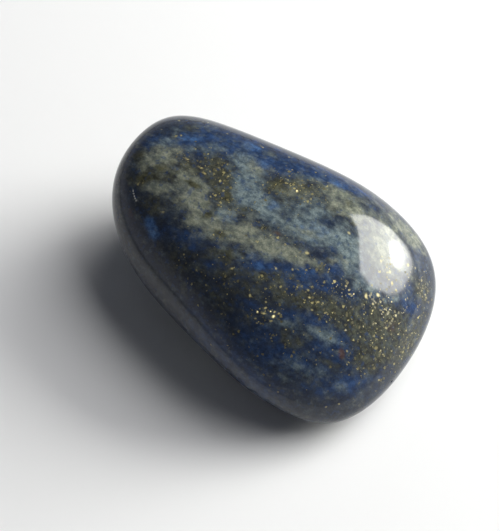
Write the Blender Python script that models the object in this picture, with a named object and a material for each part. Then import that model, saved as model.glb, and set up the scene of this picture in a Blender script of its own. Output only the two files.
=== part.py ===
"""A tumbled and polished lapis lazuli stone that lies on the flat spot on its underside.

The stone is one solid: a worn block, wide and nearly flat at one end, narrower and
rounder at the other. Its form is a few worn faces around a centre, each with a
direction and a distance, blended into one smooth skin the way tumbling blends them.
Metres, +Z up, +X towards the wide end, origin under the middle of the stone on the
surface it rests on.
"""

import math
from typing import NamedTuple

import bmesh
import bpy
from mathutils import Vector

MM = 0.001

COLLECTION_NAME = "tumbled_lapis_lazuli"
STONE_NAME = "lapis_stone"

# How crisply neighbouring worn faces meet: a larger power leaves a tighter edge
WEAR_POWER = 8

# Tilt of the faces that break the upper and the lower edge all round
SHOULDER_TILT_DEG = 45
HEEL_TILT_DEG = -40

# Distances from the centre to the top and to the underside
CROWN_HEIGHT = 6.6 * MM
CROWN_TILT_DEG = 88
BASE_DEPTH = 6.5 * MM

# How far above the lowest point the resting flat is worn
FLAT_WEAR = 0.03 * MM

# Half sizes of the egg of points that the skin is shaped from, and its fineness
EGG_HALF_SIZES = (17 * MM, 11.5 * MM, 6.6 * MM)
EGG_SUBDIVISIONS = 5

# Finish
STONE_COLOR = (0.035, 0.055, 0.13, 1)
STONE_ROUGHNESS = 0.12
STONE_COAT = 0.6


class Side(NamedTuple):
    """One side of the stone: where it faces and how far out each of its faces lies."""

    bearing_deg: float
    wall: float
    shoulder: float
    heel: float


# Bearings turn from the wide end, +X, towards the far side, +Y
SIDES = {
    "wide end": Side(3, 20.85 * MM, 10.5 * MM, 15.45 * MM),
    "wide far corner": Side(48, 20.2 * MM, 11.15 * MM, 14.4 * MM),
    "far side": Side(101, 9.45 * MM, 9.75 * MM, 7.8 * MM),
    "narrow far corner": Side(143, 17.75 * MM, 17.5 * MM, 14.35 * MM),
    "narrow end": Side(180, 16.55 * MM, 17.7 * MM, 16.35 * MM),
    "narrow near corner": Side(-143, 17.95 * MM, 16.05 * MM, 10.4 * MM),
    "near side": Side(-101, 12.2 * MM, 9.5 * MM, 9.2 * MM),
    "wide near corner": Side(-48, 18.05 * MM, 10.35 * MM, 18.45 * MM),
}


def remove_existing_objects():
    """Empty the scene."""
    for existing in list(bpy.data.objects):
        bpy.data.objects.remove(existing, do_unlink=True)


def make_collection(name):
    """Add a collection to the scene."""
    collection = bpy.data.collections.new(name)
    bpy.context.scene.collection.children.link(collection)
    return collection


def heading(bearing_deg, tilt_deg):
    """Return the unit vector for a bearing round the stone and a tilt above level."""
    bearing = math.radians(bearing_deg)
    tilt = math.radians(tilt_deg)
    level = math.cos(tilt)
    return Vector((level * math.cos(bearing), level * math.sin(bearing), math.sin(tilt)))


def worn_faces():
    """Return the outward heading and the distance of every worn face."""
    faces = [
        (heading(0, CROWN_TILT_DEG), CROWN_HEIGHT),
        (heading(0, -90), BASE_DEPTH),
    ]
    for side in SIDES.values():
        faces.append((heading(side.bearing_deg, 0), side.wall))
        faces.append((heading(side.bearing_deg, SHOULDER_TILT_DEG), side.shoulder))
        faces.append((heading(side.bearing_deg, HEEL_TILT_DEG), side.heel))
    return faces


def skin_distance(direction, faces):
    """Return how far the skin lies from the centre in a direction.

    Each face alone would cut the ray at distance / cosine. The power mean follows the
    nearest cut and rounds the change from one face to the next.
    """
    total = 0.0
    for normal, distance in faces:
        facing = max(0.0, normal.dot(direction))
        total += (facing / distance) ** WEAR_POWER
    return total ** (-1 / WEAR_POWER)


def shape_skin(mesh_edit):
    """Turn a unit ball of points into the stone's skin."""
    faces = worn_faces()
    egg = Vector(EGG_HALF_SIZES)
    for vertex in mesh_edit.verts:
        direction = (vertex.co * egg).normalized()
        vertex.co = direction * skin_distance(direction, faces)


def wear_flat(mesh_edit):
    """Cut the small flat that the stone rests on and close it."""
    lowest = min(vertex.co.z for vertex in mesh_edit.verts)
    everything = mesh_edit.verts[:] + mesh_edit.edges[:] + mesh_edit.faces[:]
    cut = bmesh.ops.bisect_plane(
        mesh_edit,
        geom=everything,
        plane_co=(0, 0, lowest + FLAT_WEAR),
        plane_no=(0, 0, -1),
        clear_outer=True,
    )
    rim = [item for item in cut["geom_cut"] if isinstance(item, bmesh.types.BMEdge)]
    bmesh.ops.edgeloop_fill(mesh_edit, edges=rim)


def stand_on_origin(mesh_edit):
    """Move the stone so that the origin is under its middle, level with the flat."""
    xs = [vertex.co.x for vertex in mesh_edit.verts]
    ys = [vertex.co.y for vertex in mesh_edit.verts]
    zs = [vertex.co.z for vertex in mesh_edit.verts]
    middle = Vector(((min(xs) + max(xs)) / 2, (min(ys) + max(ys)) / 2, min(zs)))
    bmesh.ops.translate(mesh_edit, verts=mesh_edit.verts[:], vec=-middle)


def lapis_material():
    """Return the polished blue stone finish."""
    material = bpy.data.materials.new("polished_lapis")
    material.use_nodes = True
    shader = material.node_tree.nodes["Principled BSDF"]
    shader.inputs["Base Color"].default_value = STONE_COLOR
    shader.inputs["Roughness"].default_value = STONE_ROUGHNESS
    shader.inputs["Metallic"].default_value = 0
    shader.inputs["Coat Weight"].default_value = STONE_COAT
    return material


def make_stone(collection):
    """Build the stone and add it to the collection."""
    mesh_edit = bmesh.new()
    bmesh.ops.create_icosphere(mesh_edit, subdivisions=EGG_SUBDIVISIONS, radius=1)
    shape_skin(mesh_edit)
    wear_flat(mesh_edit)
    stand_on_origin(mesh_edit)
    bmesh.ops.recalc_face_normals(mesh_edit, faces=mesh_edit.faces[:])

    mesh = bpy.data.meshes.new(STONE_NAME)
    mesh_edit.to_mesh(mesh)
    mesh_edit.free()
    mesh.shade_smooth()
    mesh.materials.append(lapis_material())

    stone = bpy.data.objects.new(STONE_NAME, mesh)
    collection.objects.link(stone)
    return stone


remove_existing_objects()
make_stone(make_collection(COLLECTION_NAME))
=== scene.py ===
"""Dresses the tumbled lapis lazuli stone: a fine skin, a polished mineral finish and a quiet studio.

The stone lies on its flat at the frame's origin, +Z up, +X towards its wide end. Lengths are
in metres unless a name ends in _mm or _px. The stone's own shape is worked out around its
centre, and only its finished mesh is moved to its place in the frame.
"""

from __future__ import annotations

import logging
import math
import random
from dataclasses import dataclass, field
from enum import Enum

import bmesh
import bpy
import numpy as np
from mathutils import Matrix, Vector


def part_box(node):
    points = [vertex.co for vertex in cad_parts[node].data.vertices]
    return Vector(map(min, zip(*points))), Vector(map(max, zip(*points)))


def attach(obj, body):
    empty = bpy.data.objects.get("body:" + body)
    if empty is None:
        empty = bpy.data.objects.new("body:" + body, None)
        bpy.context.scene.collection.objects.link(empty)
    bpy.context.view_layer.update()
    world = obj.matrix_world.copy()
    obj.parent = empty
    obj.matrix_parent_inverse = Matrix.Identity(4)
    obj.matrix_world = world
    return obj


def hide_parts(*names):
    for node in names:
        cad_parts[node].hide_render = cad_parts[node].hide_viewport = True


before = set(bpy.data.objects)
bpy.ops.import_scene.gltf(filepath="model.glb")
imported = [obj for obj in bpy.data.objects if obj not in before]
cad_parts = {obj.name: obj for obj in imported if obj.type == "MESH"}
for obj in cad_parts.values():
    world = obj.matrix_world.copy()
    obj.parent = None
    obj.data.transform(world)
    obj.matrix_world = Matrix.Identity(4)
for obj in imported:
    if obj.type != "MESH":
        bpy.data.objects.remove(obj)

MM = 0.001
QUARTER_TURN_DEG = 90.0
HALF_TURN_DEG = 180.0
CAD_NODE = "lapis_stone"

Pixel = tuple[float, float]
Span = tuple[float, float]
Tint = tuple[float, float, float, float]
Source = bpy.types.NodeSocket | float | tuple

log = logging.getLogger("lapis")


def level_heading(bearing_deg: float, tilt_deg: float) -> Vector:
    """Return a direction.

    Args:
        bearing_deg: Its bearing from +X towards +Y.
        tilt_deg: Its tilt above level.

    Returns:
        The direction's unit vector.
    """
    bearing = math.radians(bearing_deg)
    tilt = math.radians(tilt_deg)
    level = math.cos(tilt)
    return Vector((level * math.cos(bearing), level * math.sin(bearing), math.sin(tilt)))


def soft_step(values: np.ndarray, start: float, end: float) -> np.ndarray:
    """Return 0 before start, 1 past end and a smooth rise between them."""
    part = np.clip((values - start) / (end - start), 0.0, 1.0)
    return part * part * (3 - 2 * part)


def add_object(name: str, edit: bmesh.types.BMesh) -> bpy.types.Object:
    """Turn a bmesh into an object of the scene.

    Args:
        name: The name of the object and of its mesh.
        edit: The bmesh, which is freed.

    Returns:
        The object, at the origin.
    """
    mesh = bpy.data.meshes.new(name)
    edit.to_mesh(mesh)
    edit.free()
    added = bpy.data.objects.new(name, mesh)
    bpy.context.scene.collection.objects.link(added)
    return added


@dataclass(frozen=True)
class PhotoView:
    """The direction and framing from which the photograph sees the stone."""

    azimuth_deg: float = 38.0
    elevation_deg: float = 58.0
    distance: float = 190 * MM
    px_per_mm: float = 11.0
    stone_centre_px: Pixel = (266.6, 254.0)
    image_px: tuple[int, int] = (500, 531)
    sensor_mm: float = 36.0
    near_clip: float = 1 * MM
    far_clip: float = 10.0

    @property
    def back(self) -> Vector:
        """Return the unit vector from the stone to the camera."""
        return level_heading(self.azimuth_deg - QUARTER_TURN_DEG, self.elevation_deg)

    @property
    def right(self) -> Vector:
        """Return the unit vector that points to the image's right."""
        return level_heading(self.azimuth_deg, 0)

    @property
    def up(self) -> Vector:
        """Return the unit vector that points to the image's top."""
        return self.back.cross(self.right)

    @property
    def focal_px(self) -> float:
        """Return the focal length in image pixels."""
        return self.px_per_mm * self.distance / MM

    def length(self, pixels: float) -> float:
        """Return the length at the stone that spans a number of image pixels."""
        return pixels / self.px_per_mm * MM

    def position(self) -> Vector:
        """Return where the camera stands.

        Returns:
            Its place, seen from the stone's centre.
        """
        off_right = self.length(self.stone_centre_px[0] - self.image_px[0] / 2)
        off_down = self.length(self.stone_centre_px[1] - self.image_px[1] / 2)
        return self.up * off_down - self.right * off_right + self.back * self.distance

    def sight_line(self, pixel: Pixel) -> Vector:
        """Return the direction in which the camera looks through a pixel.

        Args:
            pixel: A place in the photograph, in pixels from its top left corner.

        Returns:
            The direction's unit vector.
        """
        across = (pixel[0] - self.image_px[0] / 2) / self.focal_px
        down = (pixel[1] - self.image_px[1] / 2) / self.focal_px
        return (self.right * across - self.up * down - self.back).normalized()

    def in_image(self, turn_deg: float) -> Vector:
        """Return the unit vector that lies in the image, turned clockwise from its right."""
        turn = math.radians(turn_deg)
        return self.right * math.cos(turn) - self.up * math.sin(turn)

    def add_camera(self, stone_centre: Vector) -> bpy.types.Object:
        """Add the camera and make it the scene's own.

        Args:
            stone_centre: The point that the worn faces are measured from.

        Returns:
            The camera object.
        """
        lens = bpy.data.cameras.new("photo_camera")
        lens.sensor_width = self.sensor_mm
        lens.sensor_fit = "AUTO"
        lens.lens = self.focal_px * self.sensor_mm / max(self.image_px)
        lens.clip_start = self.near_clip
        lens.clip_end = self.far_clip
        camera = bpy.data.objects.new("photo_camera", lens)
        camera.location = stone_centre + self.position()
        camera.rotation_euler = self.back.to_track_quat("Z", "Y").to_euler()
        bpy.context.scene.collection.objects.link(camera)
        bpy.context.scene.camera = camera
        return camera


@dataclass(frozen=True)
class WornSide:
    """One side of the stone: where it faces and how far out its wall, shoulder and heel lie."""

    bearing_deg: float
    wall: float
    shoulder: float
    heel: float


@dataclass(frozen=True)
class Mark:
    """A small mark: the pixel that shows it, its radius and how strongly it shows."""

    pixel: Pixel
    radius_mm: float
    strength: float = 1.0


@dataclass
class TumbledStone:
    """The stone's skin: worn faces around a centre, blended the way tumbling blends them."""

    wear_power: float = 8.0
    shoulder_tilt_deg: float = 45.0
    heel_tilt_deg: float = -40.0
    crown_height: float = 6.6 * MM
    crown_tilt_deg: float = 88.0
    base_depth: float = 6.5 * MM
    flat_wear: float = 0.03 * MM
    egg_half_sizes: tuple[float, float, float] = (17 * MM, 11.5 * MM, 6.6 * MM)
    fineness: int = 7
    mark_cuts: int = 3
    mark_margin: float = 0.12 * MM
    sight_steps: int = 400
    sight_halvings: int = 40
    sides: tuple[WornSide, ...] = (
        WornSide(3, 20.85 * MM, 10.5 * MM, 15.45 * MM),
        WornSide(48, 20.2 * MM, 11.15 * MM, 14.4 * MM),
        WornSide(101, 9.45 * MM, 9.75 * MM, 7.8 * MM),
        WornSide(143, 17.75 * MM, 17.5 * MM, 14.35 * MM),
        WornSide(180, 16.55 * MM, 17.7 * MM, 16.35 * MM),
        WornSide(-143, 17.95 * MM, 16.05 * MM, 10.4 * MM),
        WornSide(-101, 12.2 * MM, 9.5 * MM, 9.2 * MM),
        WornSide(-48, 18.05 * MM, 10.35 * MM, 18.45 * MM),
    )
    centre: Vector = field(default_factory=Vector)

    def scaled_faces(self) -> np.ndarray:
        """Return the worn faces.

        Returns:
            One row for each face: its outward heading over its distance from the centre.
        """
        faces = [
            (level_heading(0, self.crown_tilt_deg), self.crown_height),
            (level_heading(0, -QUARTER_TURN_DEG), self.base_depth),
        ]
        for side in self.sides:
            faces.append((level_heading(side.bearing_deg, 0), side.wall))
            faces.append((level_heading(side.bearing_deg, self.shoulder_tilt_deg), side.shoulder))
            faces.append((level_heading(side.bearing_deg, self.heel_tilt_deg), side.heel))
        return np.array([heading / distance for heading, distance in faces])

    def nearness(self, places: np.ndarray) -> np.ndarray:
        """Return 1 for places on the skin, less inside it and more outside, in proportion."""
        facing = np.maximum(places @ self.scaled_faces().T, 0.0)
        return (facing**self.wear_power).sum(axis=-1) ** (1 / self.wear_power)

    def skin_points(self, places: np.ndarray) -> np.ndarray:
        """Return the skin's points in the directions of some places around the centre."""
        return places / self.nearness(places)[..., None]

    def skin_normals(self, points: np.ndarray) -> np.ndarray:
        """Return which way the skin faces.

        Args:
            points: Points on the skin, one a row.

        Returns:
            The outward unit normal at each of them.
        """
        faces = self.scaled_faces()
        pull = np.maximum(points @ faces.T, 0.0) ** (self.wear_power - 1) @ faces
        return pull / np.linalg.norm(pull, axis=1, keepdims=True)

    def touch(self, view: PhotoView, pixels: list[Pixel]) -> np.ndarray:
        """Return the points of the skin that the photograph shows at some pixels.

        Each sight line is stepped through to its inmost place, and the stretch from the
        camera's side to there is then halved again and again towards the skin.

        Args:
            view: The photograph's view.
            pixels: Places in the photograph, inside the stone's outline.

        Returns:
            One point for each pixel.
        """
        start = np.array(view.position())
        lines = np.array([view.sight_line(pixel) for pixel in pixels])
        reach = 2 * max(self.egg_half_sizes)
        depths = view.distance + np.linspace(-reach, reach, self.sight_steps)
        samples = start + lines[:, None, :] * depths[None, :, None]
        outside = np.full(len(lines), depths[0])
        inside = depths[self.nearness(samples).argmin(axis=1)]
        for _ in range(self.sight_halvings):
            middle = (outside + inside) / 2
            is_inside = self.nearness(start + lines * middle[:, None]) < 1
            inside = np.where(is_inside, middle, inside)
            outside = np.where(is_inside, outside, middle)
        return start + lines * inside[:, None]

    def mirrored(self, view: PhotoView, pixels: list[Pixel]) -> tuple[np.ndarray, np.ndarray]:
        """Return what the polished skin mirrors at some pixels.

        Args:
            view: The photograph's view.
            pixels: Places in the photograph, inside the stone's outline.

        Returns:
            The points on the skin, and the unit directions that they mirror.
        """
        points = self.touch(view, pixels)
        normals = self.skin_normals(points)
        lines = np.array([view.sight_line(pixel) for pixel in pixels])
        facing = (lines * normals).sum(axis=1, keepdims=True)
        return points, lines - 2 * facing * normals

    def shape_skin(self, edit: bmesh.types.BMesh) -> None:
        """Move the mesh's points onto the stone's skin, each in its own direction.

        Args:
            edit: The mesh being shaped, around the stone's centre.
        """
        places = np.array([vertex.co[:] for vertex in edit.verts])
        for vertex, place in zip(edit.verts, self.skin_points(places)):
            vertex.co = place

    def refine_marks(self, edit: bmesh.types.BMesh, marks: list[Mark], spots: np.ndarray) -> None:
        """Make the faces finer where small marks lie.

        Args:
            edit: The mesh being shaped.
            marks: The small marks.
            spots: Their places on the skin, one a row.
        """
        edges = edit.edges[:]
        middles = np.array([((edge.verts[0].co + edge.verts[1].co) / 2)[:] for edge in edges])
        close = np.zeros(len(edges), dtype=bool)
        for mark, spot in zip(marks, spots):
            reach = mark.radius_mm * MM + self.mark_margin
            close |= np.linalg.norm(middles - spot, axis=1) < reach
        chosen = [edge for edge, is_close in zip(edges, close) if is_close]
        bmesh.ops.subdivide_edges(edit, edges=chosen, cuts=self.mark_cuts, use_grid_fill=True)
        bmesh.ops.triangulate(edit, faces=[face for face in edit.faces if len(face.verts) > 3])

    def press_pit(self, edit: bmesh.types.BMesh, pit: Mark, spot: np.ndarray) -> None:
        """Press one small pit into the skin.

        Args:
            edit: The mesh being shaped.
            pit: The pit, as deep as its radius.
            spot: Its place on the skin.
        """
        radius = pit.radius_mm * MM
        inward = -Vector(self.skin_normals(spot[None, :])[0])
        for vertex in edit.verts:
            part = (vertex.co - Vector(spot)).length / radius
            if part < 1:
                vertex.co += inward * radius * (1 - part**2)

    def wear_flat(self, edit: bmesh.types.BMesh) -> None:
        """Cut the small flat that the stone rests on and close it.

        Args:
            edit: The mesh being shaped.
        """
        lowest = min(vertex.co.z for vertex in edit.verts)
        cut = bmesh.ops.bisect_plane(
            edit,
            geom=edit.verts[:] + edit.edges[:] + edit.faces[:],
            plane_co=(0, 0, lowest + self.flat_wear),
            plane_no=(0, 0, -1),
            clear_outer=True,
        )
        rim = [item for item in cut["geom_cut"] if isinstance(item, bmesh.types.BMEdge)]
        bmesh.ops.edgeloop_fill(edit, edges=rim)

    def stand_in_frame(self, edit: bmesh.types.BMesh) -> None:
        """Set the flat on the frame's floor, under the middle of the CAD solid's box.

        Args:
            edit: The mesh being shaped.
        """
        low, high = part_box(CAD_NODE)
        places = np.array([vertex.co[:] for vertex in edit.verts])
        mine_low = places.min(axis=0)
        middle = (mine_low + places.max(axis=0)) / 2
        target = (low + high) / 2
        self.centre = Vector((target.x - middle[0], target.y - middle[1], low.z - mine_low[2]))
        bmesh.ops.translate(edit, verts=edit.verts[:], vec=self.centre)

    def build(self, view: PhotoView, marks: list[Mark], pit: Mark) -> bpy.types.Object:
        """Build the stone's mesh, in its place in the frame.

        Args:
            view: The photograph's view, which the marks' pixels belong to.
            marks: The small marks that need finer faces.
            pit: The one small pit.

        Returns:
            The finished stone, an object at the origin.
        """
        edit = bmesh.new()
        bmesh.ops.create_icosphere(edit, subdivisions=self.fineness, radius=1)
        bmesh.ops.scale(edit, verts=edit.verts[:], vec=self.egg_half_sizes)
        self.shape_skin(edit)
        fine_marks = [*marks, pit]
        spots = self.touch(view, [mark.pixel for mark in fine_marks])
        self.refine_marks(edit, fine_marks, spots)
        self.shape_skin(edit)
        self.press_pit(edit, pit, spots[-1])
        self.wear_flat(edit)
        self.stand_in_frame(edit)
        bmesh.ops.recalc_face_normals(edit, faces=edit.faces[:])
        stone = add_object("polished_stone", edit)
        stone.data.shade_smooth()
        return stone


class Mineral(Enum):
    """What the stone is made of, by the name of the attribute that holds how much there is."""

    LAZURITE = "lazurite"
    MATRIX = "matrix"
    HAZE = "haze"
    CALCITE = "calcite"
    PYRITE = "pyrite"
    RUST = "rust"
    STAIN = "stain"
    VIVID = "vivid"


@dataclass(frozen=True)
class Cloud:
    """A soft cloud of one mineral: the pixel that shows its middle, its half sizes and its lean."""

    pixel: Pixel
    half_length_mm: float
    half_width_mm: float
    turn_deg: float = 0.0
    strength: float = 1.0


LAZURITE_CLOUDS = {
    "edge of the narrow end": Cloud((150, 141), 1.3, 0.6, -25, 0.65),
    "top of the narrow end": Cloud((186, 142), 1.6, 0.7, 0, 0.8),
    "far edge, first band": Cloud((210, 136), 1.1, 0.8, 15),
    "far edge, first band, low": Cloud((229, 150), 1.1, 0.5, 10),
    "far edge, second band": Cloud((240, 142), 1.2, 0.5, 20, 0.9),
    "far edge, dark rim": Cloud((276, 151), 2.0, 0.4, 25, 0.6),
    "far edge, bright eye": Cloud((265, 164), 0.8, 0.8, 30),
    "far edge, beside the eye": Cloud((254, 155), 0.9, 0.5, 0, 0.8),
    "far edge, third band": Cloud((288, 170), 0.9, 0.7, 0),
    "far edge, fourth band": Cloud((306, 169), 1.4, 0.5, 15, 0.85),
    "far edge, fifth band": Cloud((324, 175), 0.9, 0.45, 25),
    "far edge, sixth band": Cloud((337, 182), 0.9, 0.45, 30),
    "far edge, last band": Cloud((356, 190), 1.4, 0.4, 28),
    "spot at the narrow end": Cloud((151, 227), 0.95, 0.45, 68),
    "deep band, start": Cloud((172, 232), 1.3, 0.7, 5, 0.45),
    "deep band, dark heart": Cloud((189, 237), 1.2, 0.7, 15, 0.75),
    "deep band, below the heart": Cloud((192, 248), 1.2, 0.4, 0, 0.5),
    "deep band, outlier": Cloud((215, 262), 0.8, 0.6, 0, 0.8),
    "deep band, middle": Cloud((250, 257), 0.9, 0.5, 0, 0.6),
    "deep band, long strip": Cloud((264, 266), 2.0, 0.5, 5, 0.9),
    "deep band, broad part": Cloud((306, 273), 1.6, 0.8, 10, 0.9),
    "deep band, end": Cloud((335, 270), 0.6, 0.4, 0),
    "below the deep band": Cloud((290, 283), 1.1, 0.8, 0, 0.75),
    "between the specks": Cloud((325, 284), 1.3, 0.5, 0, 0.5),
    "between the specks, right": Cloud((348, 298), 1.5, 0.6, 20, 0.55),
    "patch at the wide end": Cloud((408, 301), 1.2, 0.8, 75),
    "patch at the wide end, low": Cloud((413, 314), 0.7, 0.5, 60, 0.8),
    "streak past the bright specks": Cloud((298, 317), 1.9, 0.5, 12, 0.85),
    "streak, far part": Cloud((328, 324), 1.3, 0.4, 27, 0.75),
    "near edge, bright patch": Cloud((350, 384), 1.6, 0.7, -12),
    "near edge, bright patch, top": Cloud((352, 377), 1.0, 0.5, 0, 0.8),
    "near edge, left of the patch": Cloud((322, 388), 1.6, 0.8, 5, 0.75),
    "middle of the near side": Cloud((318, 345), 1.9, 0.9, 25, 0.6),
    "beside the gold ground": Cloud((343, 343), 1.4, 0.8, 30, 0.8),
    "below the gold ground": Cloud((352, 366), 1.4, 0.6, 15, 0.7),
    "low on the near side": Cloud((300, 363), 2.1, 0.8, 20, 0.6),
    "beside the bright specks": Cloud((246, 306), 0.9, 0.7, 0, 0.6),
    "under the bright specks": Cloud((268, 331), 1.3, 0.6, 10, 0.6),
    "small one on the near side": Cloud((197, 288), 0.7, 0.8, 0, 0.5),
    "faint one on the near side": Cloud((225, 285), 1.0, 0.6, 0, 0.4),
    "above the ridge": Cloud((252, 342), 2.4, 1.0, 37, 0.6),
    "above the ridge, right": Cloud((285, 356), 1.5, 0.8, 30, 0.6),
    "below the ridge": Cloud((220, 346), 3.6, 1.0, 44, 0.95),
    "below the ridge, right": Cloud((258, 382), 2.4, 0.9, 42, 0.9),
    "blue flaws in the pale patch": Cloud((328, 222), 0.6, 0.4, 30, 0.4),
    "under the pale patch": Cloud((330, 251), 1.4, 0.4, 0, 0.3),
    "beside the wide end": Cloud((418, 254), 0.9, 0.4, 70, 0.65),
}

HAZE_CLOUDS = {
    "edge of the narrow end": Cloud((165, 141), 1.0, 0.45, -20, 0.6),
    "top of the narrow end": Cloud((202, 149), 1.2, 0.4, 10, 0.45),
    "far side, start": Cloud((241, 161), 0.9, 0.6, 0, 0.65),
    "far edge, veil": Cloud((235, 150), 3.0, 0.6, 16, 0.25),
    "far side, pale knob": Cloud((253, 175), 0.9, 1.0, 0, 0.75),
    "far side, left part": Cloud((241, 187), 1.2, 0.9, 70, 0.8),
    "far side, heart": Cloud((254, 199), 1.3, 0.9, 10, 0.95),
    "far side, tail": Cloud((269, 212), 1.3, 0.6, 30),
    "middle, small": Cloud((222, 216), 0.9, 0.7, 0, 0.85),
    "beside the deep band": Cloud((207, 235), 0.8, 0.4, 0, 0.5),
    "pale patch, left": Cloud((294, 227), 0.8, 0.7, 0, 0.6),
    "pale patch, heart": Cloud((309, 232), 1.8, 0.7, 10),
    "pale patch, crown": Cloud((304, 229), 1.0, 0.5, 10, 0.8),
    "pale patch, right": Cloud((331, 237), 1.3, 0.9, 10, 0.75),
    "pale patch, end": Cloud((348, 246), 1.5, 1.1, 60, 0.75),
    "below the pale patch": Cloud((354, 266), 1.3, 0.8, 80, 0.65),
    "pale line under the far blue": Cloud((311, 178), 1.5, 0.3, 10, 0.55),
    "green tinge": Cloud((301, 206), 1.7, 0.8, 5, 0.55),
    "green tinge, right": Cloud((318, 214), 1.0, 0.5, 0, 0.55),
    "streak on the near side": Cloud((292, 325), 2.0, 0.4, 15, 0.55),
    "streak on the near side, end": Cloud((323, 334), 1.3, 0.6, 25, 0.65),
    "beside the near blue": Cloud((334, 387), 1.2, 0.6, 5, 0.3),
    "low on the near side": Cloud((300, 366), 1.8, 0.6, 20, 0.45),
    "low in the window": Cloud((371, 288), 0.9, 0.4, 30, 0.7),
    "under the window": Cloud((395, 299), 0.8, 0.3, -15, 0.6),
    "spot at the narrow end": Cloud((152, 227), 0.7, 0.3, 68, 0.9),
    "above the deep band": Cloud((262, 256), 2.0, 0.4, 8, 0.45),
}

CALCITE_CLOUDS = {
    "pale knob": Cloud((163, 156), 1.3, 0.85, 0),
    "pale knob, left": Cloud((150, 162), 0.6, 0.35, 0, 0.4),
    "arm, start": Cloud((187, 176), 0.9, 0.55, 45, 0.9),
    "arm, heart": Cloud((193, 197), 1.1, 0.7, 65),
    "arm, bend": Cloud((199, 206), 0.9, 0.6, 30),
    "arm, lower": Cloud((198, 218), 1.3, 0.7, 0, 0.75),
    "arm, beside the blotch": Cloud((214, 230), 1.6, 0.8, 20, 0.75),
    "arm, middle": Cloud((237, 229), 1.8, 0.9, 15, 0.7),
    "arm, long tail": Cloud((262, 244), 1.9, 0.7, 15, 0.8),
    "arm, end": Cloud((285, 250), 1.8, 0.6, 20, 0.85),
    "arm, last strip": Cloud((303, 260), 1.5, 0.3, 12, 0.6),
    "grey line": Cloud((160, 187), 1.9, 0.4, 6, 0.75),
    "beside the dark corner": Cloud((172, 194), 1.2, 0.5, 20, 0.5),
    "grey line, left": Cloud((141, 167), 0.7, 0.4, 0, 0.45),
    "grey line, right": Cloud((204, 186), 0.9, 0.4, 35, 0.6),
    "knob in the haze": Cloud((256, 169), 0.9, 0.45, 0, 0.65),
    "white of the pale patch": Cloud((309, 232), 1.0, 0.3, 10, 0.75),
    "brown-grey patch": Cloud((337, 195), 1.7, 0.8, 25, 0.7),
    "brown-grey patch, low": Cloud((346, 208), 1.3, 0.7, 10, 0.7),
    "brown-grey patch, end": Cloud((357, 214), 0.8, 0.6, 20, 0.8),
    "behind the window": Cloud((387, 248), 2.4, 1.5, 60, 0.95),
    "beside the window": Cloud((402, 228), 1.6, 0.6, 48, 0.75),
    "beside the window, low": Cloud((416, 243), 0.8, 0.4, 50, 0.7),
    "strip by the specks": Cloud((340, 262), 1.0, 0.35, 0, 0.45),
    "near edge": Cloud((312, 382), 0.8, 0.5, 20, 0.25),
    "under the far gold": Cloud((297, 191), 1.7, 0.7, 5, 0.45),
}

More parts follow.
